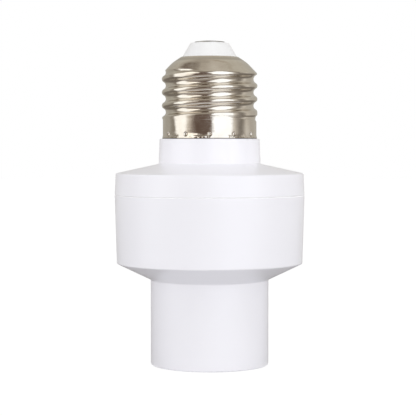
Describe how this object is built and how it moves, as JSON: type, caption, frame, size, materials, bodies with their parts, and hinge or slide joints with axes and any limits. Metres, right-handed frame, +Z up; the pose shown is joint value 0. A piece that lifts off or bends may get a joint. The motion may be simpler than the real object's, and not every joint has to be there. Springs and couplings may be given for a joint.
{
  "type": "motion sensor lamp socket",
  "caption": "Screw-in lamp socket adaptor: a threaded metal cap on top, a round white drum for motion sensing electronics, and a skirt below that takes a lamp.",
  "frame": {"origin": "centre of the bottom rim, on the plane that the rim stands on", "axes": "+Z up along the axis from the lamp opening to the screw cap, -Y towards the front of the picture, +X to its right"},
  "size_m": [0.0522, 0.0522, 0.0891],
  "materials": {
    "white_moulding": "satin white moulding",
    "nickel_sheet": "bright nickel plate",
    "white_insulator": "satin white",
    "nickel_contact": "bright nickel plate",
    "socket_sheet": "nickel plate",
    "leaf_brass": "bare spring brass",
    "board_laminate": "solder mask",
    "film_box": "moulded box",
    "capacitor_sleeve": "shrink sleeve",
    "black_moulding": "moulded resin",
    "resistor_body": "flameproof coat",
    "varistor_coat": "dipped resin",
    "light_sensor_body": "clear coat over ceramic",
    "live_insulation": "soft wire insulation",
    "neutral_insulation": "soft wire insulation"
  },
  "bodies": {
    "adaptor": {"lower_housing": "white_moulding", "upper_cover": "white_moulding", "cap_screw_shell": "nickel_sheet", "cap_insulator": "white_insulator", "cap_contact": "nickel_contact", "socket_screw_shell": "socket_sheet", "contact_rivet": "leaf_brass", "main_board": "board_laminate", "film_capacitor": "film_box", "filter_capacitor": "capacitor_sleeve", "thyristor": "black_moulding", "fuse_resistor": "resistor_body", "surge_varistor": "varistor_coat", "light_sensor": "light_sensor_body", "control_chip": "black_moulding", "sensor_board": "board_laminate", "sensor_chip": "black_moulding", "sensor_header": "black_moulding", "rectifier_diode_1": "black_moulding", "rectifier_diode_2": "black_moulding", "rectifier_diode_3": "black_moulding", "rectifier_diode_4": "black_moulding", "live_lead": "live_insulation", "neutral_lead": "neutral_insulation", "contact_lead": "live_insulation", "shell_lead": "neutral_insulation"},
    "contact_leaf": {"centre_contact": "leaf_brass"}
  },
  "joints": [
    {"name": "contact_press", "type": "hinge", "parent": "adaptor", "child": "contact_leaf", "pos_m": [-0.00645, 0, 0.0255], "axis": [0, -1, 0], "range_deg": [0, 12], "stiffness_Nm_per_rad": 0.12, "deforming": ["centre_contact"]}
  ]
}
